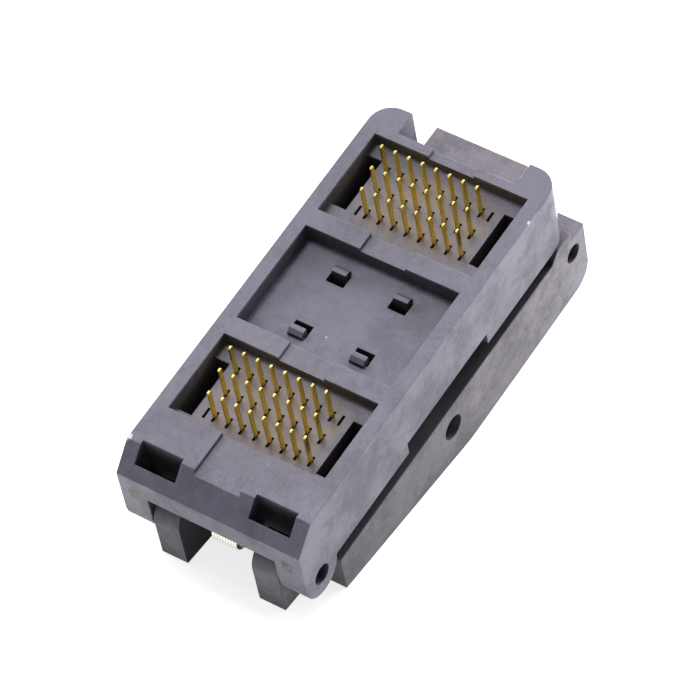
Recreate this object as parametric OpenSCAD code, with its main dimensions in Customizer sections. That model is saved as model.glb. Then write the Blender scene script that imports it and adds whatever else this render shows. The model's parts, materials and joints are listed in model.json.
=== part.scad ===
// Clamshell socket for a 48-lead thin outline chip with leads on its short ends.
// Every piece is drawn as the socket stands in use: board plane at z = 0, contact
// tails down, lid up, hinge at +x. laid_down() then turns the closed socket over
// on to the sloped part of its lid, tails up, as it lies on a bench.

/* [Chip] */
// Pitch of the leads along each short end
lead_pitch = 0.5; // [0.49:0.01:0.51]
// Length of the chip over the tips of its leads
chip_span = 20; // [19.8:0.1:20.2]
// How far each lead reaches out of the chip's moulded body
lead_reach = 0.8; // [0.75:0.05:0.85]
// Width of the chip's moulded body
chip_w = 12; // [11.8:0.1:12.2]
// Thickness of the chip's moulded body
chip_t = 1; // [0.9:0.05:1.2]

/* [Contacts] */
// Thickness of the sheet that the contacts are stamped from
contact_t = 0.2; // [0.15:0.01:0.22]
// Width of a tail
tail_w = 0.45; // [0.35:0.05:0.6]
// Length of a tail below the board plane
tail_len = 2.66; // [2:0.02:3.6]
// Chamfer at the end of a tail
tail_tip = 0.1; // [0.05:0.01:0.15]
// Distance between the three tail rows of one end
row_pitch = 2.54; // [2.48:0.02:2.56]
// Middle tail row of each end, from the middle of the socket
group_x = 12.98; // [12.9:0.02:13.04]
// Width of the contact's spring arm
arm_w = 0.35; // [0.3:0.01:0.4]
// Outer radius of the contact's spring bend
bend_r = 1.15; // [1:0.05:1.2]
// Length of a tail slot in the floor
slot_l = 1.18; // [1.05:0.01:1.25]
// Width of a tail slot in the floor
slot_w = 0.28; // [0.26:0.01:0.3]

/* [Base] */
// Width of the base
base_w = 20; // [19.6:0.1:21]
// Latch end of the base, from the middle of the socket
base_far = 21.7; // [21.4:0.1:22]
// Hinge end of the base, from the middle of the socket
base_near = 24.4; // [24.3:0.1:24.6]
// Height of the side walls above the board
base_h = 8.3; // [8.2:0.05:8.4]
// Thickness of the side walls
wall_t = 1.5; // [1.3:0.05:1.6]
// Radius of the two corners at the latch end
corner_r = 2.4; // [1.5:0.1:2.5]
// Depth of the two tail pockets in the underside
pocket_d = 1.4; // [1.2:0.1:1.6]
// Depth of the middle recess in the underside
recess_d = 2; // [1.8:0.1:2.2]
// Half length of the middle recess
recess_x = 5.95; // [5.7:0.05:6.1]
// Start of each tail pocket, from the middle of the socket
pocket_in = 8; // [7.8:0.1:8.2]
// End of the tail pocket at the latch end
pocket_far = 18.05; // [17.9:0.05:18.1]
// End of the tail pocket at the hinge end
pocket_near = 17.35; // [17.2:0.05:17.5]
// Depth of the shallow channel along the underside
channel_d = 0.4; // [0.2:0.05:0.6]
// Width of the shallow channel
channel_w = 5; // [4:0.5:6]
// Height of the floor that the contacts stand on
floor_z = 3.4; // [3.3:0.05:3.5]
// Height of the ribs between the contacts
comb_z = 7.2; // [7.1:0.05:7.4]
// Width of the notch that the latch drops into
notch_w = 13.1; // [12.6:0.1:13.6]
// Face that the latch hooks under, from the middle of the socket
notch_x = 19.06; // [19:0.02:19.2]
// Height at which the finger recess is cut from the side walls
grip_z = 6.8; // [6.5:0.1:7.4]
// Length of the finger recess
grip_l = 13.9; // [12:0.1:15]

/* [Hinge] */
// Hinge axis, from the middle of the socket
hinge_x = 21.9; // [21.85:0.01:21.95]
// Height of the hinge axis above the board
hinge_z = 8.35; // [8.3:0.05:8.45]
// Radius of the ears on the base
ear_r = 2.45; // [2.3:0.05:2.5]
// Radius of the knuckles on the lid
knuckle_r = 2.5; // [2.3:0.05:2.5]
// Radius of the hinge pin
hinge_pin_r = 0.8; // [0.7:0.05:0.9]
// Radius of the counterbore at each end of the hinge pin
hinge_cbore_r = 1.1; // [1:0.05:1.3]
// Inner side of each knuckle, from the socket's middle plane
knuckle_in = 4; // [3.9:0.05:4.2]
// Outer side of each knuckle, from the socket's middle plane
knuckle_out = 6.87; // [6.6:0.01:6.9]
// Inner side of each ear, from the socket's middle plane
ear_in = 7; // [6.95:0.01:7.1]
// Wire of the hinge spring
hinge_wire = 0.3; // [0.26:0.01:0.31]
// Outer radius of the hinge spring
hinge_coil_r = 1.35; // [1.3:0.05:1.5]
// Whole turns of the hinge spring
hinge_turns = 6; // [5:1:6]

/* [Lid] */
// How far each side of the lid stands out over the base
lid_over = 0.2; // [0.1:0.05:0.4]
// Latch end of the lid, from the middle of the socket
lid_far = 23.7; // [23.6:0.1:24]
// Hinge end of the lid's cover, from the middle of the socket
lid_near = 19.3; // [19.2:0.05:19.35]
// Height of the lid's lower edge
lid_z = 9.5; // [9.45:0.05:9.7]
// Height of the flat top of the lid
lid_top = 17.4; // [17.2:0.1:17.8]
// Place where the top begins to slope to the hinge
slope_x = 1.8; // [1:0.1:3]
// Height of the sloped top over the hinge end of the cover
slope_z = 14.15; // [14:0.05:14.4]
// Rounding of the lid's top corner at the latch end
lid_r = 2.4; // [1.5:0.1:2.6]
// Thickness of the lid's side walls
lid_wall = 1.7; // [1.5:0.05:1.75]
// Thickness of the lid's roof
roof_t = 1.9; // [1.7:0.05:2]
// Length of the window in the lid
window_l = 17; // [14:0.5:18]
// Width of the window in the lid
window_w = 10.5; // [9:0.5:12]
// Gap over the side walls where the lid's stops come down
stop_gap = 0.06; // [0.04:0.01:0.1]

/* [Pusher] */
// Pusher pin, from the middle of the socket
pusher_x = 0.4; // [0:0.1:0.5]
// Height of the pusher pin
pusher_z = 12.55; // [12.45:0.05:12.7]
// Radius of the pusher pin
pusher_pin_r = 1.35; // [1.2:0.05:1.4]
// Height of the two edges that press on the leads
press_z = 7; // [6.95:0.05:7.1]
// Width of each pressing edge along the socket
press_w = 0.6; // [0.5:0.05:0.65]

/* [Latch] */
// Latch pin, from the middle of the socket
latch_x = 21.5; // [21.45:0.05:21.6]
// Height of the latch pin
latch_z = 11.65; // [11.6:0.05:11.8]
// Radius of the latch pin
latch_pin_r = 1.05; // [0.9:0.05:1.1]
// Width of the latch
latch_w = 10.06; // [9:0.02:11]
// Outer face of the latch's hook, from the middle of the socket
hook_far = 23.2; // [23:0.05:23.3]
// Lowest point of the hook
hook_z = 2.82; // [2.7:0.02:2.9]
// Reach of the hook under the end wall
hook_in = 0.8; // [0.6:0.05:0.9]

/* [Nest] */
// Height of the seat that the chip's body lies on
seat_z = 6.4; // [6.35:0.05:6.45]
// Snap hooks, from each middle plane
snap = 3.4; // [3.35:0.05:3.45]
// Width of a snap hook across the socket
snap_w = 1.6; // [1.4:0.05:1.7]

/* [Fits] */
// Radial clearance of a pin that turns in its bore
run_gap = 0.04; // [0.03:0.01:0.06]
// Clearance between parts that slide or swing past each other
slide_gap = 0.12; // [0.1:0.01:0.14]

/* [Hidden] */
$fn = 48;
rows = 3;
row_pins = 8;
end_pins = rows * row_pins;
function contact_name(k) = str("contact_", k < 10 ? "0" : "", k);

// The closed socket lies on the sloped part of its lid
rest_tilt = atan((lid_top - slope_z) / (lid_near + slope_x));
function slope_at(x) = slope_z - (x - lid_near) * tan(rest_tilt);

cut = 1;
sink = 0.1;
half_w = base_w / 2;
inner_w = half_w - wall_t;

// Contacts
chip_l = chip_span - 2 * lead_reach;
tip_r = 0.2;
tip_x = chip_span / 2 - 0.3;
lead_z = seat_z + 0.1;
bend_x = 11;
foot_z = floor_z + 0.1;
arm_top = foot_z + 2 * bend_r;
shoulder_w = 0.9;
shoulder_z = floor_z - 1.6;

// Comb of ribs at each end of the nest
comb_in = chip_l / 2 + 0.15;
comb_step = 10.3;
comb_out = 16.9;
comb_w = 6.5;
comb_low = lead_z - tip_r - slide_gap;
slot_end = group_x + row_pitch + slot_l / 2;

// Deep holes beside the tail pockets
core_x = [9.95, 16.4];
core_y = 6.82;
core_z = comb_z - 0.9;

// Hinge end
ramp_run = base_near - hinge_x;
knuckle_room = hinge_z - knuckle_r - 0.9;
bearing_x = hinge_x - knuckle_r - slide_gap;
vent_x = [hinge_x - 0.45, hinge_x + 1.43];
vent_y = [knuckle_in, inner_w];
hinge_pin_end = half_w - 1.5;
hinge_coil_y = [-0.59, 1.45];
base_leg_turn = 45;
lid_leg_turn = 95;
lid_leg = 2.9;

// Lid
lid_half = half_w + lid_over;
cavity_x = 16.6;
cavity_y = lid_half - lid_wall;
latch_bay = 7.3;
bay_x = 18.9;
bay_flare = 1.7;
bay_side = cavity_y - 0.05;
ear_z = lid_z - 0.05;
cheek_z = 10.3;
stop_x = [19.2, 21.45];
stop_lead = 1.2;

// Latch
nose_h = 1;
latch_body = latch_bay - slide_gap;
lever_x = 20.9;
lever_top = 16.2;
barrel_r = 2;
nose_rise = 0.6;
hook_edge = 0.15;
hook_inner = notch_x + 0.29;
catch_z = hook_z + nose_h + slide_gap;
catch_room = 0.25;
catch_low = hook_z - 0.3;
latch_pin_end = lid_half - 1.5;
lever_inset = 0.1;
lever_chamfer = [0.8, 1.2];
latch_spring_z = 14.7;
latch_spring_r = 1.1;
latch_wire = 0.25;
latch_spring_turns = 6;
seat_depth = 0.8;

// Nest
nest_x = chip_l / 2 - slide_gap;
nest_y = 7.2;
plate_z = 5.2;
rail_z = seat_z + chip_t;
rail_lead = 0.5;
chip_gap = 0.05;
snap_leg = 0.48;
snap_out = snap + 0.46;
snap_nose = 0.44;
snap_stand = 0.7;
snap_tip = 0.38;
snap_hole = 2.52;
snap_side = 0.18;
nest_spring_y = 5.2;
nest_spring_r = 1.1;
nest_wire = 0.25;
nest_spring_turns = 5;

// Pusher
pusher_l = 13;
pusher_w = cavity_y - 2 * slide_gap;
pusher_low = 8.9;
pusher_high = 11.2;
hub_x = 2.4;
hub_top = pusher_z + pusher_pin_r + 0.7;
press_window = [3.2, 7.5];
pusher_pin_end = lid_half - 1.2;
pad_in = 9.35;
pad_y = 6.1;
bridge = 1;

// Tips the closed socket over on to its lid, tails up
module laid_down() {
    rotate([0, rest_tilt, 0])
        rotate([180, 0, 0])
            children();
}

// Extrudes a side profile, drawn in x and z, across the socket between two places
module across(from, to) {
    translate([0, to, 0])
        rotate([90, 0, 0])
            linear_extrude(to - from)
                children();
}

// Extrudes a section, drawn in y and z, along the socket between two places
module along(from, to) {
    translate([from, 0, 0])
        rotate([90, 0, 90])
            linear_extrude(to - from)
                children();
}

// Both halves of something that is alike about the middle plane
module both_sides() {
    children();
    mirror([0, 1, 0])
        children();
}

// Both ends of something that is alike about the middle of the socket
module both_ends() {
    children();
    mirror([1, 0, 0])
        children();
}

// A box given by its ranges along x, y and z
module span(x, y, z) {
    translate([x[0], y[0], z[0]])
        cube([x[1] - x[0], y[1] - y[0], z[1] - z[0]]);
}

// A round bar across the socket
module bar(x, z, r, half) {
    translate([x, half, z])
        rotate([90, 0, 0])
            cylinder(r = r, h = 2 * half);
}

// ---- Wire springs ----

// Sweeps a round wire along a path of [point, outward direction] about the z axis
module wire_sweep(path, r, sides = 6) {
    n = len(path);
    ring = [for (i = [0:sides - 1]) 360 * i / sides];
    points = [for (s = path) for (a = ring) s[0] + r * (cos(a) * s[1] + sin(a) * [0, 0, 1])];
    walls = [for (i = [0:n - 2]) for (j = [0:sides - 1])
        let (a = i * sides + j, b = i * sides + (j + 1) % sides)
        each [[a, a + sides, b + sides], [a, b + sides, b]]];
    start = [for (j = [0:sides - 1]) j];
    end = [for (j = [sides - 1:-1:0]) (n - 1) * sides + j];
    polyhedron(points, concat(walls, [start, end]));
}

// Points on a coil from one angle to another, climbing from z0 to z1
function coil(r, a0, a1, z0, z1, seg) =
    let (steps = ceil((a1 - a0) / 360 * seg))
    [for (i = [0:steps])
        let (a = a0 + (a1 - a0) * i / steps, out = [cos(a), sin(a), 0])
        [r * out + [0, 0, z0 + (z1 - z0) * i / steps], out]];

// A compression spring standing on z = 0
module coil_spring(r, wire, length, turns) {
    wire_sweep(coil(r - wire / 2, 0, 360 * turns, wire / 2, length - wire / 2, 12), wire / 2);
}

// ---- Base ----

// Side profile of the base with an ear at the hinge
module base_profile() {
    polygon([[-base_far, 0], [hinge_x, 0], [base_near, ramp_run], [base_near, hinge_z],
             [bearing_x, hinge_z], [bearing_x, base_h], [-base_far, base_h]]);
    translate([hinge_x, hinge_z])
        circle(ear_r);
}

// Rounds the two corners at the latch end
module far_corners() {
    both_sides()
        translate([-base_far, half_w, -cut])
            difference() {
                translate([-cut, -corner_r, 0])
                    cube([corner_r + cut, corner_r + cut, base_h + 2 * cut]);
                translate([corner_r, -corner_r, -cut])
                    cylinder(r = corner_r, h = base_h + 4 * cut);
            }
}

// What the underside is hollowed by: tail pockets, middle recess, channel and deep holes
module underside_cuts() {
    span([-pocket_far, -pocket_in], [-inner_w, inner_w], [-cut, pocket_d]);
    span([pocket_in, pocket_near], [-inner_w, inner_w], [-cut, pocket_d]);
    span([-recess_x, recess_x], [-inner_w, inner_w], [-cut, recess_d]);
    span([-notch_x - cut, base_near], [-channel_w / 2, channel_w / 2], [-cut, channel_d]);
    both_ends()
        both_sides()
            span(core_x, [core_y, inner_w], [0, core_z]);
    both_sides()
        span(vent_x, vent_y, [-cut, knuckle_room + sink]);
}

// One tail slot through the floor, at a place along and across the socket
module tail_slot(x, y) {
    span([x - slot_l / 2, x + slot_l / 2], [y - slot_w / 2, y + slot_w / 2], [0, floor_z + cut]);
}

// Place of a contact: its end of the socket, its tail and its place across
function contact_end(k) = k <= end_pins ? -1 : 1;
function contact_row(k) = (k - 1) % rows - 1;
function contact_tail(k) = contact_end(k) * group_x + contact_row(k) * row_pitch;
function contact_y(k) = -((k - 1) % end_pins - (end_pins - 1) / 2) * lead_pitch;

// Tail slots, with one spare at each end of the outer rows, and the ribs between contacts
module contact_cuts() {
    for (k = [1:2 * end_pins]) {
        tail_slot(contact_tail(k), contact_y(k));
        side = contact_end(k);
        scale_x = [side * (comb_in - cut), side * slot_end];
        span([min(scale_x), max(scale_x)],
             [contact_y(k) - slot_w / 2, contact_y(k) + slot_w / 2], [floor_z, base_h]);
    }
    spare = (end_pins - 1) / 2 * lead_pitch;
    for (side = [-1, 1])
        for (row = [-1, 1])
            tail_slot(side * group_x + row * row_pitch, row * spare);
}

// What the top is hollowed by: the nest's well and the steps of the two combs
module well_cuts() {
    span([-comb_in, comb_in], [-inner_w, inner_w], [floor_z, base_h + cut]);
    both_ends() {
        span([0, comb_step], [-comb_w, comb_w], [comb_low, base_h + cut]);
        span([0, comb_out], [-inner_w, inner_w], [comb_z, base_h + cut]);
    }
    span([-grip_l / 2, grip_l / 2], [-half_w - cut, half_w + cut], [grip_z, base_h + cut]);
}

// Holes that the nest's snap hooks pass through, with room for the hooks to bend inwards
module snap_holes() {
    y = [snap - snap_w / 2 - snap_side, snap + snap_w / 2 + snap_side];
    both_ends()
        both_sides()
            span([snap_hole, snap_out + slide_gap], y, [0, floor_z + cut]);
}

// Room at the latch end for the latch and the pocket that its hook catches in
module latch_cuts() {
    span([-base_far - cut, -notch_x], [-notch_w / 2, notch_w / 2], [-cut, base_h + cut]);
    span([-notch_x - cut, -notch_x + hook_in + catch_room],
         [-latch_w / 2 - slide_gap, latch_w / 2 + slide_gap], [catch_low, catch_z]);
}

// Room at the hinge end for the knuckles and the hinge spring
module hinge_cuts() {
    span([bearing_x, base_near + cut], [-ear_in, ear_in],
         [knuckle_room, hinge_z + ear_r + cut]);
    bar(hinge_x, hinge_z, hinge_pin_r, half_w + cut);
    both_sides()
        translate([hinge_x, half_w + cut, hinge_z])
            rotate([90, 0, 0])
                cylinder(r = hinge_cbore_r, h = half_w - hinge_pin_end + cut);
}

module base() {
    laid_down()
        color("#66666c")
            difference() {
                across(-half_w, half_w)
                    base_profile();
                far_corners();
                underside_cuts();
                contact_cuts();
                well_cuts();
                snap_holes();
                latch_cuts();
                hinge_cuts();
            }
}

// ---- Contacts ----

// Stamped outline of a contact whose tail is a distance from the middle of the socket
module contact_profile(tail) {
    polygon([[tail - tail_w / 2, -tail_len + tail_tip], [tail - tail_w / 2 + tail_tip, -tail_len],
             [tail + tail_w / 2 - tail_tip, -tail_len], [tail + tail_w / 2, -tail_len + tail_tip],
             [tail + tail_w / 2, floor_z], [tail - tail_w / 2, floor_z]]);
    translate([tail - shoulder_w / 2, shoulder_z])
        square([shoulder_w, foot_z + arm_w - shoulder_z]);
    foot = [min(bend_x, tail), max(bend_x, tail)];
    translate([foot[0], foot_z])
        square([foot[1] - foot[0] + sink, arm_w]);
    difference() {
        translate([bend_x, foot_z + bend_r])
            circle(bend_r);
        translate([bend_x, foot_z + bend_r])
            circle(bend_r - arm_w);
        translate([bend_x - 2 * bend_r, foot_z - cut])
            square([2 * bend_r, 2 * bend_r + 2 * cut]);
    }
    polygon([[bend_x, arm_top - arm_w], [bend_x, arm_top], [tip_x, lead_z],
             [tip_x, lead_z - 2 * tip_r]]);
    translate([tip_x, lead_z - tip_r])
        circle(tip_r);
}

module contact(k) {
    side = contact_end(k);
    laid_down()
        color("#c9a23c")
            translate([0, contact_y(k), 0])
                mirror([side < 0 ? 1 : 0, 0, 0])
                    across(-contact_t / 2, contact_t / 2)
                        contact_profile(side * contact_tail(k));
}

// ---- Nest ----

// One snap hook, hanging from the nest through the floor, whose nose rests on the recess
module snap_hook() {
    catch_face = recess_d - run_gap;
    across(snap - snap_w / 2, snap + snap_w / 2)
        polygon([[snap_out, plate_z + sink], [snap_out, catch_face],
                 [snap_out + snap_nose, catch_face], [snap_out + snap_nose, recess_d - snap_tip],
                 [snap_out, recess_d - snap_stand], [snap_out - snap_leg, recess_d - snap_stand],
                 [snap_out - snap_leg, plate_z + sink]]);
}

// Section of the nest: a plate with a rail along each side of the chip
module nest_section() {
    gap = chip_w / 2 + chip_gap;
    polygon([[-nest_y, plate_z], [nest_y, plate_z], [nest_y, rail_z],
             [gap + rail_lead, rail_z], [gap, rail_z - rail_lead], [gap, seat_z],
             [-gap, seat_z], [-gap, rail_z - rail_lead], [-gap - rail_lead, rail_z],
             [-nest_y, rail_z]]);
}

module nest() {
    laid_down()
        color("#66666c") {
            along(-nest_x, nest_x)
                nest_section();
            both_ends()
                both_sides()
                    snap_hook();
        }
}

// Two springs that lift the nest
module nest_springs() {
    laid_down()
        color("#c8c8cc")
            both_sides()
                translate([0, nest_spring_y, floor_z])
                    coil_spring(nest_spring_r, nest_wire, plate_z - floor_z,
                                nest_spring_turns);
}

// ---- Lid ----

// Side profile of the lid's cover, with its stops
module cover_profile() {
    polygon([[lid_near, lid_z], [-stop_x[0] + stop_lead, lid_z], [-stop_x[0], base_h + stop_gap],
             [-stop_x[1], base_h + stop_gap], [-stop_x[1], ear_z], [-lid_far, ear_z],
             [-lid_far, lid_top - lid_r], [-lid_far + lid_r, lid_top - lid_r],
             [-lid_far + lid_r, lid_top], [-slope_x, lid_top], [lid_near, slope_z]]);
    intersection() {
        translate([-lid_far + lid_r, lid_top - lid_r])
            circle(lid_r);
        translate([-lid_far, lid_top - lid_r])
            square(lid_r);
    }
}

// Side profile of a leg, from the cover to its knuckle on the hinge
module leg_profile() {
    polygon([[lid_near - lid_wall, lid_z], [hinge_x - knuckle_r, lid_z],
             [hinge_x - knuckle_r, hinge_z], [hinge_x + knuckle_r, hinge_z],
             [hinge_x + knuckle_r, slope_at(hinge_x + knuckle_r)],
             [lid_near - lid_wall, slope_at(lid_near - lid_wall)]]);
    translate([hinge_x, hinge_z])
        circle(knuckle_r);
}

// Side profile of the room under the roof
module cavity_profile() {
    polygon([[-cavity_x, lid_z - 2 * cut], [cavity_x, lid_z - 2 * cut],
             [cavity_x, slope_at(cavity_x) - roof_t], [-slope_x, lid_top - roof_t],
             [-cavity_x, lid_top - roof_t]]);
}

// Room for the latch between the lid's two cheeks, wider under its pin
module latch_bay_cuts() {
    span([-lid_far - cut, -bay_x], [-latch_bay, latch_bay], [0, lid_top + cut]);
    both_sides()
        translate([0, 0, base_h])
            linear_extrude(cheek_z - base_h)
                polygon([[-lid_far, latch_bay], [-lid_far + bay_flare, bay_side],
                         [-bay_x, bay_side], [-bay_x, latch_bay - cut],
                         [-lid_far, latch_bay - cut]]);
    translate([-bay_x + seat_depth, 0, latch_spring_z])
        rotate([0, -90, 0])
            cylinder(r = latch_spring_r + slide_gap, h = seat_depth + cut);
}

module lid() {
    laid_down()
        color("#5f5f66")
            difference() {
                union() {
                    across(-lid_half, lid_half)
                        cover_profile();
                    both_sides()
                        across(knuckle_in, knuckle_out)
                            leg_profile();
                }
                across(-cavity_y, cavity_y)
                    cavity_profile();
                span([-window_l / 2, window_l / 2], [-window_w / 2, window_w / 2],
                     [lid_z, lid_top + cut]);
                latch_bay_cuts();
                bar(hinge_x, hinge_z, hinge_pin_r + run_gap, lid_half);
                bar(pusher_x, pusher_z, pusher_pin_r, lid_half + cut);
                bar(-latch_x, latch_z, latch_pin_r, lid_half + cut);
            }
}

// ---- Pusher ----

// Side profile of the pusher's plate
module plate_profile() {
    polygon([[-pusher_l, pusher_low], [pusher_l, pusher_low], [pusher_l, pusher_high],
             [-pusher_l, pusher_high]]);
}

module pusher() {
    laid_down()
        color("#5a5a60")
            difference() {
                union() {
                    across(-pusher_w, pusher_w)
                        plate_profile();
                    span([pusher_x - hub_x, pusher_x + hub_x], [-pusher_w, pusher_w],
                         [pusher_low, hub_top]);
                    both_ends()
                        span([pad_in, pad_in + press_w], [-pad_y, pad_y],
                             [press_z, pusher_low + sink]);
                }
                bar(pusher_x, pusher_z, pusher_pin_r + run_gap, half_w);
                both_ends()
                    span(press_window, [-chip_w / 2 + bridge, chip_w / 2 - bridge],
                         [pusher_low - cut, pusher_high + cut]);
            }
}

// ---- Latch ----

// Side profile of the hook under the latch's pin
module hook_profile() {
    polygon([[-hook_far, hook_z + hook_edge], [-hook_far + hook_edge, hook_z],
             [-hook_inner, hook_z], [-notch_x + hook_in, hook_z + nose_rise],
             [-notch_x + hook_in, hook_z + nose_h], [-hook_inner, hook_z + nose_h],
             [-hook_inner, latch_z - barrel_r], [-latch_x + barrel_r, latch_z],
             [-hook_far, latch_z]]);
}

// Side profile of the lever above the latch's pin
module lever_profile() {
    outer = -lid_far + lever_inset;
    polygon([[outer, ear_z + lever_inset], [-lever_x, ear_z + lever_inset],
             [-lever_x, lever_top], [outer + lever_chamfer[0], lever_top],
             [outer, lever_top - lever_chamfer[1]]]);
    translate([-latch_x, latch_z])
        circle(barrel_r);
}

module latch() {
    laid_down()
        color("#5a5a60")
            difference() {
                union() {
                    across(-latch_w / 2, latch_w / 2)
                        hook_profile();
                    across(-latch_body, latch_body)
                        lever_profile();
                }
                bar(-latch_x, latch_z, latch_pin_r + run_gap, half_w);
                translate([-lever_x - seat_depth, 0, latch_spring_z])
                    rotate([0, 90, 0])
                        cylinder(r = latch_spring_r + slide_gap, h = seat_depth + cut);
            }
}

// Spring that keeps the hook home
module latch_spring() {
    laid_down()
        color("#c8c8cc")
            translate([-lever_x - seat_depth, 0, latch_spring_z])
                rotate([0, 90, 0])
                    coil_spring(latch_spring_r, latch_wire,
                                lever_x - bay_x + 2 * seat_depth, latch_spring_turns);
}

// ---- Pins and hinge spring ----

module hinge_pin() {
    laid_down()
        color("#b9b9bd")
            bar(hinge_x, hinge_z, hinge_pin_r, hinge_pin_end);
}

module pusher_pin() {
    laid_down()
        color("#b9b9bd")
            bar(pusher_x, pusher_z, pusher_pin_r, pusher_pin_end);
}

module latch_pin() {
    laid_down()
        color("#b9b9bd")
            bar(-latch_x, latch_z, latch_pin_r, latch_pin_end);
}

// Path of the hinge spring's wire, with a straight leg at each end
function hinge_path(r, from, to) =
    let (a0 = -base_leg_turn, a1 = 360 * hinge_turns + lid_leg_turn,
         base_leg = (hinge_z - knuckle_room - hinge_wire / 2) / cos(a0) - r * tan(-a0),
         out0 = [cos(a0), sin(a0), 0], out1 = [cos(a1), sin(a1), 0])
    concat([[r * out0 + base_leg * [out0[1], -out0[0], 0] + [0, 0, from], out0]],
           coil(r, a0, a1, from, to, 16),
           [[r * out1 + lid_leg * [-out1[1], out1[0], 0] + [0, 0, to], out1]]);

module hinge_spring() {
    laid_down()
        color("#dcdccf")
            translate([hinge_x, 0, hinge_z])
                rotate([90, 0, 0])
                    wire_sweep(hinge_path(hinge_coil_r - hinge_wire / 2, hinge_coil_y[0],
                                          hinge_coil_y[1]), hinge_wire / 2);
}

base();
nest();
lid();
pusher();
latch();
hinge_pin();
pusher_pin();
latch_pin();
hinge_spring();
latch_spring();
nest_springs();
for (k = [1:2 * end_pins]) contact(k);
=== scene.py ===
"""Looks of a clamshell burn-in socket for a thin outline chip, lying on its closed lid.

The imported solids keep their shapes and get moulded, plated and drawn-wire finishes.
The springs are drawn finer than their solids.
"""
import json
import math

import bpy
from mathutils import Euler, Matrix, Vector


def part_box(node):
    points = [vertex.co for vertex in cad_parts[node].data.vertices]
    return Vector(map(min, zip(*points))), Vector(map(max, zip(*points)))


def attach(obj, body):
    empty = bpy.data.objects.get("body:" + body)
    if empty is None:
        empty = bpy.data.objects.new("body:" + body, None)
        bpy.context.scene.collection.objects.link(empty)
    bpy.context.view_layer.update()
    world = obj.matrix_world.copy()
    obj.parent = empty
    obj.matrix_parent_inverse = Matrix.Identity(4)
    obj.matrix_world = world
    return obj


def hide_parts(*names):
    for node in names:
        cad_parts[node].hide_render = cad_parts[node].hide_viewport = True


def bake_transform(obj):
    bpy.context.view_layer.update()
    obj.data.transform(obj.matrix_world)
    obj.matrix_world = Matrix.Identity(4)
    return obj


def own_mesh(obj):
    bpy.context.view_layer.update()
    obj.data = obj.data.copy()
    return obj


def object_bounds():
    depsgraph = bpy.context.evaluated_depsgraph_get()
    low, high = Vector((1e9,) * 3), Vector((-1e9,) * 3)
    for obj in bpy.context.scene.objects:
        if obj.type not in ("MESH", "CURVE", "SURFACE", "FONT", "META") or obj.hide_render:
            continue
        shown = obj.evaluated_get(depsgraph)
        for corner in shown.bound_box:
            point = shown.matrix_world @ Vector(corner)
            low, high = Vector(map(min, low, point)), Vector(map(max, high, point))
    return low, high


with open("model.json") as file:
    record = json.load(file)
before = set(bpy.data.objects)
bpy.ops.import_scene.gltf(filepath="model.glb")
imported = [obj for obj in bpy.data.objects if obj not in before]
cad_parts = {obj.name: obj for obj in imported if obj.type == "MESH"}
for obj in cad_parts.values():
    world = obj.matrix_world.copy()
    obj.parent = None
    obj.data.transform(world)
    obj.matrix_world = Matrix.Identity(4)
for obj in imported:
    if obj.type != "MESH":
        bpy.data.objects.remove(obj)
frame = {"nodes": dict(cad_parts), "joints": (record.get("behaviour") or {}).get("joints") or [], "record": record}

CAD_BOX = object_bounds()

bl_info = {
    "name": "Clamshell chip socket",
    "version": (1, 0, 0),
    "blender": (4, 5, 0),
    "location": "View3D > Sidebar > Socket",
    "description": "Dresses a clamshell chip socket in moulded plastic, gold and spring wire",
    "category": "Object",
}

MM = 0.001

# Hinge spring: turns with the part turn between its legs, where it starts, its legs and
# how much further it reaches to one side than its solid
HINGE_TURN = math.radians(360 * 8 + 140)
HINGE_START = math.radians(-45)
BASE_LEG, LID_LEG = 3.35 * MM, 2.85 * MM
HINGE_REACH = 0.6 * MM
# Small springs: length, turns and what is left of the length at the joint's limit
LATCH_LENGTH, LATCH_TURNS, LATCH_KEEP = 3.6 * MM, 6, 0.82
NEST_LENGTH, NEST_TURNS, NEST_KEEP = 1.8 * MM, 5, 0.78
NEST_SIDE = 5.2 * MM
# How much of the white room shows in glossy pieces
GLOSS_SHARE = 0.6

# ---- Where things are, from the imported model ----

JOINTS = {j["name"]: j for j in frame["joints"]}


def mount(name):
    """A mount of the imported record."""
    return next(m for m in frame["record"]["mounts"] if m["name"] == name)


BOARD = Vector(mount("board_face")["axis"]).normalized()
ALONG = Vector((BOARD.z, 0.0, -BOARD.x))
ACROSS = Vector((0.0, 1.0, 0.0))
HINGE = Vector(JOINTS["lid_hinge"]["pos_m"])
CONTACTS = sorted(n for n in frame["nodes"] if n.startswith("contact_"))


def place(x, y, h):
    """A point given in metres along the socket, across it and above its board plane."""
    return ALONG * x + ACROSS * y + BOARD * h


def axes(x, y, z, at):
    """Placement whose three axes point along x, y and z from a point."""
    return Matrix.Translation(at) @ Matrix((x, y, z)).transposed().to_4x4()


# ---- Settings ----

class PlasticSettings(bpy.types.PropertyGroup):
    """Colours and grain of the moulded pieces"""
    base: bpy.props.FloatVectorProperty(
        name="Base plastic", description="Colour of the base", subtype="COLOR",
        size=3, min=0, max=1, default=(0.138, 0.130, 0.172))
    lid: bpy.props.FloatVectorProperty(
        name="Lid plastic", description="Colour of the lid and latch", subtype="COLOR",
        size=3, min=0, max=1, default=(0.142, 0.128, 0.150))
    grain: bpy.props.FloatProperty(
        name="Grain", description="Width of the moulded surface's grain", unit="LENGTH",
        subtype="DISTANCE", default=0.16 * MM, min=0.05 * MM, max=1 * MM)
    edge: bpy.props.FloatProperty(
        name="Edge rounding", description="Rounding that the light shows along edges",
        unit="LENGTH", subtype="DISTANCE", default=0.12 * MM, min=0, max=0.5 * MM)


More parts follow.
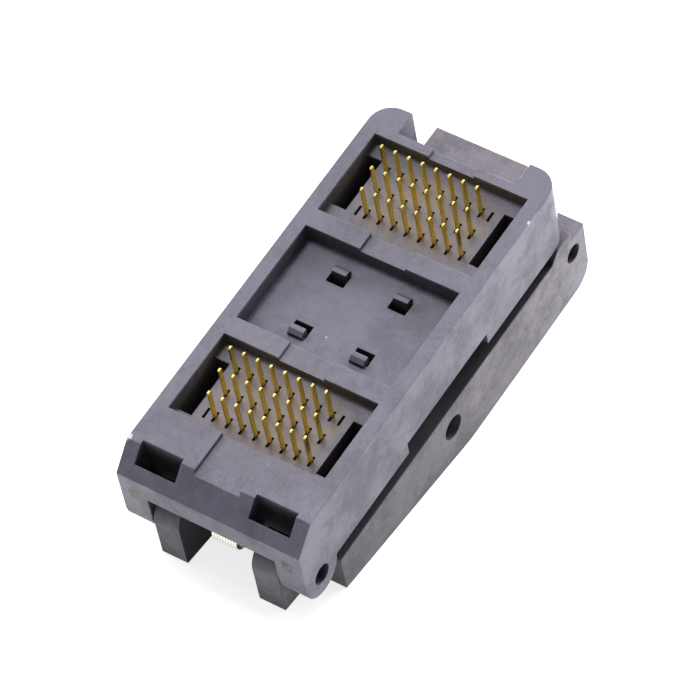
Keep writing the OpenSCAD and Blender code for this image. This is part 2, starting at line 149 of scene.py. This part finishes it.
class MetalSettings(bpy.types.PropertyGroup):
    """Colours of the metal pieces"""
    gold: bpy.props.FloatVectorProperty(
        name="Gold", description="Colour of the plated contacts", subtype="COLOR",
        size=3, min=0, max=1, default=(1.0, 0.74, 0.09))
    wire: bpy.props.FloatVectorProperty(
        name="Spring wire", description="Colour of the drawn spring wire", subtype="COLOR",
        size=3, min=0, max=1, default=(0.93, 0.91, 0.82))
    steel: bpy.props.FloatVectorProperty(
        name="Pins", description="Colour of the ground steel pins", subtype="COLOR",
        size=3, min=0, max=1, default=(0.42, 0.42, 0.43))


class SpringSettings(bpy.types.PropertyGroup):
    """Sizes of the wire springs"""
    hinge_wire: bpy.props.FloatProperty(
        name="Hinge wire", description="Thickness of the hinge spring's wire", unit="LENGTH",
        subtype="DISTANCE", default=0.3 * MM, min=0.2 * MM, max=0.31 * MM)
    hinge_radius: bpy.props.FloatProperty(
        name="Hinge coil", description="Outer radius of the hinge spring", unit="LENGTH",
        subtype="DISTANCE", default=1.35 * MM, min=1.2 * MM, max=1.4 * MM)
    small_wire: bpy.props.FloatProperty(
        name="Small wire", description="Thickness of the latch and nest springs' wire",
        unit="LENGTH", subtype="DISTANCE", default=0.25 * MM, min=0.15 * MM, max=0.28 * MM)
    small_radius: bpy.props.FloatProperty(
        name="Small coil", description="Outer radius of the latch and nest springs",
        unit="LENGTH", subtype="DISTANCE", default=1.1 * MM, min=0.8 * MM, max=1.1 * MM)


class StageSettings(bpy.types.PropertyGroup):
    """Camera, floor and lamps"""
    camera_at: bpy.props.FloatVectorProperty(
        name="Camera", description="Where the camera stands", subtype="TRANSLATION",
        unit="LENGTH", size=3, default=(0.24449, 0.17530, 0.31954))
    camera_turn: bpy.props.FloatVectorProperty(
        name="Camera turn", description="How the camera is turned", subtype="EULER",
        unit="ROTATION", size=3,
        default=tuple(math.radians(a) for a in (42.6848, 2.2574, 123.2015)))
    lens: bpy.props.FloatProperty(
        name="Lens", description="Focal length in millimetres", default=245.07, min=50, max=400)
    floor: bpy.props.FloatVectorProperty(
        name="Floor", description="Colour of the bench", subtype="COLOR", size=3, min=0, max=1,
        default=(0.82, 0.82, 0.82))
    glow: bpy.props.FloatProperty(
        name="Bench glow", description="How white the bench looks and shines back", default=0.78,
        min=0, max=1)
    back: bpy.props.FloatProperty(
        name="Back lamp", description="Power of the softbox past the latch end, in watts",
        default=2.7, min=0, max=10)
    left: bpy.props.FloatProperty(
        name="Left lamp", description="Power of the softbox on the left, in watts",
        default=1.2, min=0, max=10)
    top: bpy.props.FloatProperty(
        name="Top lamp", description="Power of the softbox over the socket, in watts",
        default=0.85, min=0, max=10)
    right: bpy.props.FloatProperty(
        name="Right lamp", description="Power of the softbox on the right, in watts",
        default=1.1, min=0, max=10)
    room: bpy.props.FloatProperty(
        name="Room", description="Light that comes from all round", default=0.1, min=0, max=2)


# ---- Shader maths ----

class Value:
    """A socket of a node tree that can be written in sums"""

    def __init__(self, shader, socket):
        self.shader = shader
        self.socket = socket

    def sum_with(self, operation, *others, swap=False):
        inputs = [self, *others]
        if swap:
            inputs.reverse()
        return self.shader.node("ShaderNodeMath", {"operation": operation}, *inputs)

    def __add__(self, other):
        return self.sum_with("ADD", other)

    __radd__ = __add__

    def __sub__(self, other):
        return self.sum_with("SUBTRACT", other)

    def __rsub__(self, other):
        return self.sum_with("SUBTRACT", other, swap=True)

    def __mul__(self, other):
        return self.sum_with("MULTIPLY", other)

    __rmul__ = __mul__

    def __truediv__(self, other):
        return self.sum_with("DIVIDE", other)

    def __rtruediv__(self, other):
        return self.sum_with("DIVIDE", other, swap=True)

    def __neg__(self):
        return self * -1.0

    def at_least(self, other):
        return self.sum_with("MAXIMUM", other)

    def at_most(self, other):
        return self.sum_with("MINIMUM", other)

    def size(self):
        return self.sum_with("ABSOLUTE")

    def clear(self):
        """Held between 0 and 1"""
        return self.at_least(0.0).at_most(1.0)


class Shader:
    """A new material and its nodes"""

    def __init__(self, name):
        self.material = bpy.data.materials.new(name)
        self.material.use_nodes = True
        self.tree = self.material.node_tree
        self.tree.nodes.clear()
        self.end = self.tree.nodes.new("ShaderNodeOutputMaterial")

    def node(self, kind, settings=None, *values, out=0, **named):
        made = self.tree.nodes.new(kind)
        for key, setting in (settings or {}).items():
            setattr(made, key, setting)
        for i, value in enumerate(values):
            self.join(value, made.inputs[i])
        for key, value in named.items():
            self.join(value, made.inputs[key.replace("_", " ")])
        return Value(self, made.outputs[out])

    def join(self, value, socket):
        if value is None:
            return
        if isinstance(value, Value):
            self.tree.links.new(value.socket, socket)
        elif isinstance(value, (tuple, list, Vector)) and socket.type == "RGBA":
            socket.default_value = (*value[:3], 1.0)
        else:
            socket.default_value = value

    def where(self):
        """The piece's own coordinates, in metres"""
        return self.node("ShaderNodeTexCoord", out=3)

    def measured(self, direction, start=(0, 0, 0)):
        """How far a point lies along a direction from a start, in millimetres"""
        moved = self.node("ShaderNodeVectorMath", {"operation": "SUBTRACT"},
                          self.where(), tuple(start))
        return self.node("ShaderNodeVectorMath", {"operation": "DOT_PRODUCT"}, moved,
                         tuple(direction), out=1) / MM

    def facing(self, direction):
        """1 where the surface looks along a direction and -1 where it looks against it"""
        return self.node("ShaderNodeVectorMath", {"operation": "DOT_PRODUCT"},
                         self.node("ShaderNodeTexCoord", out=1), tuple(direction), out=1)

    def noise(self, width, detail=3.0, rough=0.5, stretch=(1, 1, 1)):
        """Cloudy noise whose patches are about a width across, from 0 to 1"""
        spread = self.node("ShaderNodeVectorMath", {"operation": "MULTIPLY"},
                           self.where(), tuple(stretch))
        return self.node("ShaderNodeTexNoise", {"noise_dimensions": "3D"}, Vector=spread,
                         Scale=1.0 / width, Detail=detail, Roughness=rough)

    def between(self, value, low, high):
        """0 below low, 1 above high and smooth between"""
        return self.node("ShaderNodeMapRange", {"interpolation_type": "SMOOTHSTEP"}, Value=value,
                         From_Min=low, From_Max=high)

    def mix(self, factor, a, b):
        """Colour a at factor 0 and colour b at factor 1"""
        made = self.tree.nodes.new("ShaderNodeMix")
        made.data_type = "RGBA"
        self.join(factor, made.inputs[0])
        self.join(a, made.inputs[6])
        self.join(b, made.inputs[7])
        return Value(self, made.outputs[2])

    def blot(self, at, width):
        """A rough round blot about a point, 1 inside and 0 outside"""
        far = self.node("ShaderNodeVectorMath", {"operation": "DISTANCE"},
                        self.where(), tuple(at), out=1)
        ragged = self.noise(width * 0.35, 3, 0.7)
        return 1.0 - self.between(far / (width / 2) + (ragged - 0.5) * 2.2, 0.75, 0.95)

    def bump(self, height, depth, normal=None):
        """Surface relief of a depth in metres"""
        return self.node("ShaderNodeBump", None, Height=height, Strength=1.0, Distance=depth,
                         Normal=normal)

    def finish(self, **inputs):
        """Ends the material in a Principled shader"""
        shader = self.node("ShaderNodeBsdfPrincipled", None, **inputs)
        self.tree.links.new(shader.socket, self.end.inputs["Surface"])
        return self.material


# ---- Finishes ----

def moulded(name, colour, settings, rough=0.4, cloudy=0.5, inside=None, marks_and_painted_light=None):
    """Glass-filled plastic: grain, cloudy mottling, bright flecks, worn edges that also carry a painted edge
    highlight, and painted shade in hidden faces and corners
    """
    s = Shader(name)
    tint = lambda r, g, b: (colour[0] * r, colour[1] * g, colour[2] * b)
    soft = s.node("ShaderNodeBevel", {"samples": 6}, Radius=settings.edge)
    hard = s.node("ShaderNodeNewGeometry", out=1)
    facing = s.node("ShaderNodeVectorMath", {"operation": "DOT_PRODUCT"}, soft, hard, out=1)
    edge = 1.0 - facing
    cloud = s.noise(3.0 * MM, 5, 0.62)
    patch = s.noise(0.8 * MM, 4, 0.65)
    grain = s.noise(settings.grain, 3, 0.6)
    fleck = s.noise(0.13 * MM, 1, 0.4)
    mottle = s.between(s.noise(11 * MM, 2, 0.5) * 0.35 + cloud * 0.4 + patch * 0.25, 0.38, 0.6)
    tone = s.mix(mottle * cloudy + 0.5 - cloudy / 2, tint(0.5, 0.52, 0.52), tint(1.5, 1.48, 1.54))
    tone = s.mix(s.between(grain, 0.35, 0.7) * 0.35, tone, tint(1.5, 1.5, 1.56))
    tone = s.mix(s.between(fleck, 0.7, 0.78) * 0.7, tone, tint(3.0, 3.0, 2.9))
    # Edges lightened in patches: partly real wear, partly a painted edge highlight
    worn_and_highlit_edge = s.between(edge, 0.02, 0.22) * s.between(s.noise(0.9 * MM, 4, 0.7), 0.4, 0.62)
    tone = s.mix(worn_and_highlit_edge * 0.6, tone, tint(2.2, 2.15, 2.1))
    chip = s.between(edge, 0.03, 0.15) * s.between(s.noise(0.42 * MM, 3, 0.7), 0.66, 0.71)
    tone = s.mix(chip * 0.85, tone, tint(4.6, 4.5, 4.3))
    scuff = s.between(s.noise(0.45 * MM, 4, 0.75, (1, 0.2, 1)), 0.68, 0.76)
    tone = s.mix(scuff * 0.25, tone, tint(2.0, 1.95, 1.95))
    # Painted shade: the faces that the piece's mask picks out (deep walls, gaps, under hooks) are darkened towards
    # a near-black tint
    painted_shade = inside(s) if inside else 0.0
    tone = s.mix(painted_shade * 0.85, tone, tint(0.14, 0.14, 0.13))
    # Painted shade: ambient occlusion darkens crevices, corners and recesses towards a near-black tint
    outside_painted_shade = s.between(s.node("ShaderNodeAmbientOcclusion", {"samples": 6}, out=1,
                                Distance=3.4 * MM), 0.12, 0.62)
    tone = s.mix(outside_painted_shade, tint(0.14, 0.14, 0.13), tone)
    # Marks on top: real scars, nicks and specks, plus the painted reflection and painted shade that the mark
    # functions give
    for mask, strength, mark in marks_and_painted_light(s) if marks_and_painted_light else ():
        tone = s.mix(mask * strength, tone, mark)
    relief = grain + patch * 0.8 + cloud * 0.8
    normal = s.bump(relief, 0.009 * MM, soft)
    return s.finish(Base_Color=tone, Normal=normal,
                    Roughness=((1.0 - mottle) * 0.2 + rough - fleck * 0.06 + painted_shade * 0.5).clear())


def base_painted_shade(s):
    """Where the base gets painted shade: the walls of its recess and pockets, and all of its deeper holes, from 0
    to 1
    """
    along = s.measured(ALONG)
    deep = -s.measured(BOARD) - (along - 21.9).at_least(0.0)
    middle = 1.0 - s.between(along.size(), 6.2, 6.8)
    ends = s.between(along.size(), 18.5, 19.2)
    floor = middle * 2.06 + (1.0 - middle) * (1.0 - ends) * 1.46 + ends * 0.44
    walls = (1.0 - s.between(s.measured(ACROSS).size(), 8.54, 8.6)) \
        * (1.0 - s.between(along, 24.1, 24.3)) * s.between(along, -18.9, -18.6)
    steep = (1.0 - s.between(s.facing(BOARD).size(), 0.2, 0.5)) * s.between(deep, 0.05, 0.45) * 0.8
    return s.between(deep - floor, 0.02, 0.3).at_least(steep) * walls


def base_marks_and_painted_reflection(s):
    """Painted reflection of the gold as a warm haze round the tails, gate scars on the hinge end, nicks on the rim
    and a few specks
    """
    end, side = 24.4 * MM, 10.0 * MM
    ring, core, gap = (0.045, 0.03, 0.028), (0.2, 0.15, 0.14), (0.01, 0.008, 0.008)
    nick = (0.8, 0.79, 0.77)
    field = (s.measured(ALONG).size() - 12.9).size()
    # Painted reflection: a warm brown glow on the floor round the gold tails
    painted_gold_reflection = (1.0 - s.between(field, 3.0, 4.9)) \
        * (1.0 - s.between(s.measured(ACROSS).size(), 5.2, 7.2)) \
        * s.between(s.noise(1.6 * MM, 3, 0.6), 0.25, 0.7) * s.between(s.facing(BOARD), 0.3, 0.7)
    marks_and_painted_light = [(painted_gold_reflection, 0.55, (0.245, 0.185, 0.095))]
    for across in (-8.4 * MM, 8.3 * MM):
        marks_and_painted_light.append((s.blot(place(end, across, -4.8 * MM), 1.7 * MM), 0.9, ring))
        marks_and_painted_light.append((s.blot(place(end, across + 0.1 * MM, -4.9 * MM), 1.0 * MM), 0.8, core))
        marks_and_painted_light.append((s.blot(place(end, across - 0.2 * MM, -4.55 * MM), 0.8 * MM), 0.95, gap))
    marks_and_painted_light.append((s.blot(place(-15.8 * MM, side, -0.05 * MM), 0.5 * MM), 0.9, nick))
    marks_and_painted_light.append((s.blot(place(21.7 * MM, -side, -0.15 * MM), 0.9 * MM), 0.9, nick))
    marks_and_painted_light.append((s.blot(place(-18.0 * MM, side, -0.78 * MM), 0.25 * MM), 0.9, gap))
    marks_and_painted_light.append((s.blot(place(2.9 * MM, -0.8 * MM, -2.0 * MM), 0.2 * MM), 0.9, nick))
    return marks_and_painted_light


def lid_painted_shade(s):
    """Where the lid gets painted shade: the faces between its two legs and the edge that faces the base, from 0 to
    1
    """
    along, across = s.measured(ALONG), s.measured(ACROSS).size()
    legs = (1.0 - s.between(across, 4.02, 4.1)) * s.between(along, 18.0, 19.2)
    rim = (1.0 - s.between(across, 10.05, 10.15)) * s.between(s.measured(BOARD), -9.54, -9.5)
    return legs + rim * s.between(along, -18.9, -18.1) * (1.0 - s.between(along, 19.0, 19.25))


def lid_painted_falloff(s):
    """Painted shade: the hinge half of the lid darker than the half with the latch, as the light falls off towards
    the hinge
    """
    return [(s.between(s.measured(ALONG), -4.0, 5.0), 0.6, (0.075, 0.069, 0.086))]


def nest_painted_shade(s):
    """Where the nest gets painted shade: the snap hooks under their slanted tips, from 0 to 1"""
    tip = (s.measured(ALONG).size() - 3.86).at_least(0.0) * 0.75 + 1.33
    return s.between(-s.measured(BOARD) - tip, 0.0, 0.06)


def plated_gold(colour):
    """Gold over stamped strip, with a painted highlight at the cut tips and painted shade, browner, down in the
    slots
    """
    s = Shader("plated_gold")
    height = s.measured(BOARD)
    cloud = s.noise(0.45 * MM, 3, 0.6, (1, 1, 0.25))
    dull = tuple(c * f for c, f in zip(colour, (0.78, 0.68, 0.5)))
    tone = s.mix(s.between(cloud, 0.4, 0.7) * 0.8, colour, dull)
    # Painted shade: darker brown down in the slots
    tone = s.mix((1.0 - s.between(height, -3.6, -0.6)) * 0.75, tone, (0.16, 0.09, 0.02))
    # Painted highlight: bright pale gold at the cut tips
    tone = s.mix(s.between(height, 2.5, 2.62), tone, (1.0, 0.83, 0.23))
    normal = s.bump(s.noise(0.15 * MM, 2, 0.5, (1, 1, 0.3)), 0.002 * MM,
                    s.node("ShaderNodeBevel", {"samples": 4}, Radius=0.05 * MM))
    return s.finish(Base_Color=tone, Metallic=1.0, Roughness=cloud * 0.12 + 0.2, Normal=normal)


def drawn_wire(colour):
    """Bright drawn wire with faint lines along it"""
    s = Shader("drawn_wire")
    cloud = s.noise(0.4 * MM, 3, 0.6)
    tone = s.mix(cloud * 0.5, colour, tuple(c * 0.6 for c in colour))
    return s.finish(Base_Color=tone, Metallic=1.0, Roughness=cloud * 0.15 + 0.22,
                    Normal=s.bump(s.noise(0.06 * MM, 2, 0.5), 0.002 * MM))


def ground_steel(colour):
    """Ground pin with faint rings on its end"""
    s = Shader("ground_steel")
    cloud = s.noise(0.6 * MM, 3, 0.6)
    tone = s.mix(cloud * 0.7, colour, tuple(c * 0.45 for c in colour))
    return s.finish(Base_Color=tone, Metallic=1.0, Roughness=cloud * 0.2 + 0.3,
                    Normal=s.bump(s.noise(0.1 * MM, 2, 0.5), 0.003 * MM))


def bench(colour, glow):
    """White bench that shows a soft shadow"""
    s = Shader("bench")
    seen = s.node("ShaderNodeLightPath", out=0)
    glossy = s.node("ShaderNodeLightPath", out=3)
    diffuse = s.node("ShaderNodeBsdfDiffuse", None, Color=(*colour, 1.0))
    shine = s.node("ShaderNodeEmission", None, Color=(1, 1, 1, 1),
                   Strength=(seen + glossy).clear() * glow)
    both = s.node("ShaderNodeAddShader", None, diffuse, shine)
    s.tree.links.new(both.socket, s.end.inputs["Surface"])
    return s.material


# ---- Making pieces ----

def dress(obj, material):
    obj.data.materials.clear()
    obj.data.materials.append(material)


def wind(name, radius, wire, turns, rise, sides=8):
    """A coil about +Z, wound from a ring that starts on +X, with open ends"""
    bpy.ops.object.select_all(action="DESELECT")
    bpy.ops.mesh.primitive_circle_add(vertices=sides, radius=wire / 2, fill_type="NOTHING",
                                      location=(radius, 0, 0), rotation=(math.pi / 2, 0, 0))
    coil = bpy.context.view_layer.objects.active
    coil.name = name
    bpy.ops.object.transform_apply(location=True, rotation=True, scale=True)
    winding = coil.modifiers.new("winding", "SCREW")
    winding.axis = "Z"
    winding.angle = 2 * math.pi * turns
    winding.screw_offset = rise
    winding.steps = winding.render_steps = round(turns * 28)
    bpy.ops.object.modifier_apply(modifier="winding")
    return coil


def end_on(coil, radius, angle, height, pull, wire):
    """Draws the open end of the wire out along a pull and closes it"""
    at = Vector((radius * math.cos(angle), radius * math.sin(angle), height))
    bpy.ops.object.mode_set(mode="EDIT")
    bpy.ops.mesh.select_mode(type="VERT")
    bpy.ops.mesh.select_all(action="DESELECT")
    bpy.ops.mesh.select_non_manifold(extend=False, use_wire=False, use_boundary=True,
                                     use_multi_face=False, use_non_contiguous=False,
                                     use_verts=False)
    bpy.ops.object.mode_set(mode="OBJECT")
    for edge in coil.data.edges:
        edge.select = False
    for vertex in coil.data.vertices:
        vertex.select = vertex.select and (vertex.co - at).length < wire
    bpy.ops.object.mode_set(mode="EDIT")
    bpy.ops.mesh.extrude_region_move(TRANSFORM_OT_translate={"value": pull})
    bpy.ops.mesh.edge_face_add()
    bpy.ops.object.mode_set(mode="OBJECT")


def settle(obj, placement, material):
    """Puts a finished wire piece in its place and gives it its finish"""
    bpy.ops.object.mode_set(mode="EDIT")
    bpy.ops.mesh.select_all(action="SELECT")
    bpy.ops.mesh.normals_make_consistent(inside=False)
    bpy.ops.object.mode_set(mode="OBJECT")
    obj.matrix_world = placement
    bpy.ops.object.transform_apply(location=True, rotation=True, scale=True)
    bpy.ops.object.shade_smooth_by_angle(angle=math.radians(50))
    dress(obj, material)


class SOCKET_OT_finishes(bpy.types.Operator):
    """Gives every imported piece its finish"""
    bl_idname = "socket.finishes"
    bl_label = "Finishes"

    def execute(self, context):
        plastic = context.scene.socket_plastic
        metal = context.scene.socket_metal
        finishes = {
            "base": moulded("base_plastic", tuple(plastic.base), plastic, 0.36, 0.5, base_painted_shade,
                            base_marks_and_painted_reflection),
            "nest": moulded("nest_plastic", tuple(plastic.base), plastic, 0.36, 0.5, nest_painted_shade),
            "lid": moulded("lid_plastic", tuple(plastic.lid), plastic, 0.42, 0.7, lid_painted_shade,
                            lid_painted_falloff),
            "pusher": moulded("pusher_plastic", tuple(plastic.lid), plastic, 0.45),
            "latch": moulded("latch_plastic", tuple(plastic.lid), plastic, 0.4, 0.8)}
        steel = ground_steel(tuple(metal.steel))
        gold = plated_gold(tuple(metal.gold))
        finishes.update({name: steel for name in ("hinge_pin", "pusher_pin", "latch_pin")})
        finishes.update({name: gold for name in CONTACTS})
        for name, material in finishes.items():
            node = frame["nodes"][name]
            for slot in node.material_slots:
                slot.material = material
        return {"FINISHED"}


class SOCKET_OT_springs(bpy.types.Operator):
    """Winds the hinge, latch and nest springs from finer wire than their solids"""
    bl_idname = "socket.springs"
    bl_label = "Springs"

    def execute(self, context):
        wire = drawn_wire(tuple(context.scene.socket_metal.wire))
        sizes = context.scene.socket_springs
        self.hinge(sizes, wire)
        self.latch(sizes, wire)
        self.nest(sizes, wire)
        return {"FINISHED"}

    def hinge(self, sizes, finish):
        """Torsion spring round the hinge pin, one leg on the base and one under the lid"""
        low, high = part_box("hinge_spring")
        radius = sizes.hinge_radius - sizes.hinge_wire / 2
        low.y -= HINGE_REACH
        rise = high.y - low.y - sizes.hinge_wire
        coil = wind("hinge_spring_wire", radius, sizes.hinge_wire,
                    HINGE_TURN / (2 * math.pi), rise)
        end_on(coil, radius, 0, 0, (0, -BASE_LEG, 0), sizes.hinge_wire)
        last = HINGE_TURN % (2 * math.pi)
        end_on(coil, radius, last, rise,
               (-LID_LEG * math.sin(last), LID_LEG * math.cos(last), 0), sizes.hinge_wire)
        start = Vector((HINGE.x, low.y + sizes.hinge_wire / 2, HINGE.z))
        settle(coil, axes(ALONG, -BOARD, ACROSS, start) @ Matrix.Rotation(HINGE_START, 4, "Z"),
               finish)
        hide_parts("hinge_spring")
        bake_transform(coil)

    def compression(self, name, sizes, length, turns):
        """Compression spring that stands on its own origin along +Z"""
        radius = sizes.small_radius - sizes.small_wire / 2
        rise = length - sizes.small_wire
        coil = wind(name, radius, sizes.small_wire, turns, rise)
        end_on(coil, radius, 0, 0, (0, -0.05 * MM, 0), sizes.small_wire)
        end_on(coil, radius, 2 * math.pi * turns, rise, (0, 0.05 * MM, 0), sizes.small_wire)
        for vertex in coil.data.vertices:
            vertex.co.z += sizes.small_wire / 2
        return coil

    def latch(self, sizes, finish):
        """Spring between the lid and the lever of the latch"""
        low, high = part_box("latch_spring")
        middle = (low + high) / 2
        coil = self.compression("latch_spring_wire", sizes, LATCH_LENGTH, LATCH_TURNS)
        foot = middle - ALONG * LATCH_LENGTH / 2
        settle(coil, axes(BOARD, -ACROSS, ALONG, foot), finish)
        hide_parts("latch_spring")
        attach(coil, "lid")
        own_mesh(coil)

    def nest(self, sizes, finish):
        """The two springs that lift the nest off the base's floor"""
        low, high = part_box("nest_springs")
        middle = (low + high) / 2
        for side, name in ((1, "right"), (-1, "left")):
            coil = self.compression("nest_spring_" + name, sizes, NEST_LENGTH, NEST_TURNS)
            foot = middle + ACROSS * side * NEST_SIDE + BOARD * NEST_LENGTH / 2
            settle(coil, axes(ALONG, -ACROSS, -BOARD, foot), finish)
            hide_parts("nest_springs")
            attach(coil, "base")
            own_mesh(coil)


class SOCKET_OT_stage(bpy.types.Operator):
    """Sets the bench, the lamps, the room and the camera"""
    bl_idname = "socket.stage"
    bl_label = "Stage"

    def execute(self, context):
        sizes = context.scene.socket_stage
        self.bench(sizes)
        self.lamps(sizes)
        self.room(context.scene, sizes)
        self.camera(context.scene, sizes)
        return {"FINISHED"}

    def bench(self, sizes):
        bpy.ops.object.select_all(action="DESELECT")
        bpy.ops.mesh.primitive_plane_add(size=4.0, location=(0, 0, CAD_BOX[0].z))
        floor = bpy.context.view_layer.objects.active
        floor.name = "bench"
        bpy.ops.object.transform_apply(location=True, rotation=True, scale=True)
        dress(floor, bench(tuple(sizes.floor), sizes.glow))

    def lamp(self, name, at, width, power):
        data = bpy.data.lights.new(name, "AREA")
        data.shape = "SQUARE"
        data.size = width
        data.energy = power
        lamp = bpy.data.objects.new(name, data)
        lamp.location = at
        lamp.rotation_mode = "QUATERNION"
        lamp.rotation_quaternion = (-Vector(at)).to_track_quat("-Z", "Y")
        bpy.context.scene.collection.objects.link(lamp)

    def lamps(self, sizes):
        self.lamp("back_softbox", (-0.4, 0.0, 0.2), 0.3, sizes.back)
        self.lamp("left_softbox", (-0.05, -0.4, 0.2), 0.3, sizes.left)
        self.lamp("top_softbox", (-0.02, -0.09, 0.44), 0.12, sizes.top)
        self.lamp("right_softbox", (-0.33, 0.25, 0.11), 0.25, sizes.right)

    def room(self, scene, sizes):
        world = bpy.data.worlds.new("white_room")
        scene.world = world
        world.use_nodes = True
        nodes, links = world.node_tree.nodes, world.node_tree.links
        nodes.clear()
        path = nodes.new("ShaderNodeLightPath")
        both = nodes.new("ShaderNodeMath")
        both.operation = "MULTIPLY_ADD"
        both.inputs[1].default_value = GLOSS_SHARE
        strength = nodes.new("ShaderNodeMapRange")
        ground = nodes.new("ShaderNodeBackground")
        end = nodes.new("ShaderNodeOutputWorld")
        links.new(path.outputs["Is Glossy Ray"], both.inputs[0])
        links.new(path.outputs["Is Camera Ray"], both.inputs[2])
        links.new(both.outputs[0], strength.inputs["Value"])
        strength.inputs["To Min"].default_value = sizes.room
        strength.inputs["To Max"].default_value = 1.0
        links.new(strength.outputs[0], ground.inputs["Strength"])
        ground.inputs["Color"].default_value = (1, 1, 1, 1)
        links.new(ground.outputs[0], end.inputs["Surface"])

    def camera(self, scene, sizes):
        data = bpy.data.cameras.new("camera")
        data.lens = sizes.lens
        data.sensor_width = 36.0
        data.clip_start = 0.01
        data.clip_end = 10.0
        camera = bpy.data.objects.new("camera", data)
        camera.location = sizes.camera_at
        camera.rotation_euler = Euler(sizes.camera_turn)
        scene.collection.objects.link(camera)
        scene.camera = camera
        scene.view_settings.view_transform = "Standard"


class SOCKET_PT_panel(bpy.types.Panel):
    """Lists the socket's operators and their settings"""
    bl_idname = "SOCKET_PT_panel"
    bl_label = "Clamshell chip socket"
    bl_space_type = "VIEW_3D"
    bl_region_type = "UI"
    bl_category = "Socket"

    def draw(self, context):
        for operator in OPERATORS:
            self.layout.operator(operator.bl_idname)
        for name in SETTINGS:
            box = self.layout.box()
            group = getattr(context.scene, name)
            for key in type(group).__annotations__:
                box.prop(group, key)


SETTINGS = {"socket_plastic": PlasticSettings, "socket_metal": MetalSettings,
            "socket_springs": SpringSettings, "socket_stage": StageSettings}
OPERATORS = (SOCKET_OT_finishes, SOCKET_OT_springs, SOCKET_OT_stage)


def register():
    for group in SETTINGS.values():
        bpy.utils.register_class(group)
    for name, group in SETTINGS.items():
        setattr(bpy.types.Scene, name, bpy.props.PointerProperty(type=group))
    for operator in OPERATORS:
        bpy.utils.register_class(operator)
    bpy.utils.register_class(SOCKET_PT_panel)


def unregister():
    bpy.utils.unregister_class(SOCKET_PT_panel)
    for operator in reversed(OPERATORS):
        bpy.utils.unregister_class(operator)
    for name in SETTINGS:
        delattr(bpy.types.Scene, name)
    for group in reversed(list(SETTINGS.values())):
        bpy.utils.unregister_class(group)


def main():
    register()
    bpy.ops.socket.finishes()
    bpy.ops.socket.springs()
    bpy.ops.socket.stage()


if __name__ == "__main__":
    main()
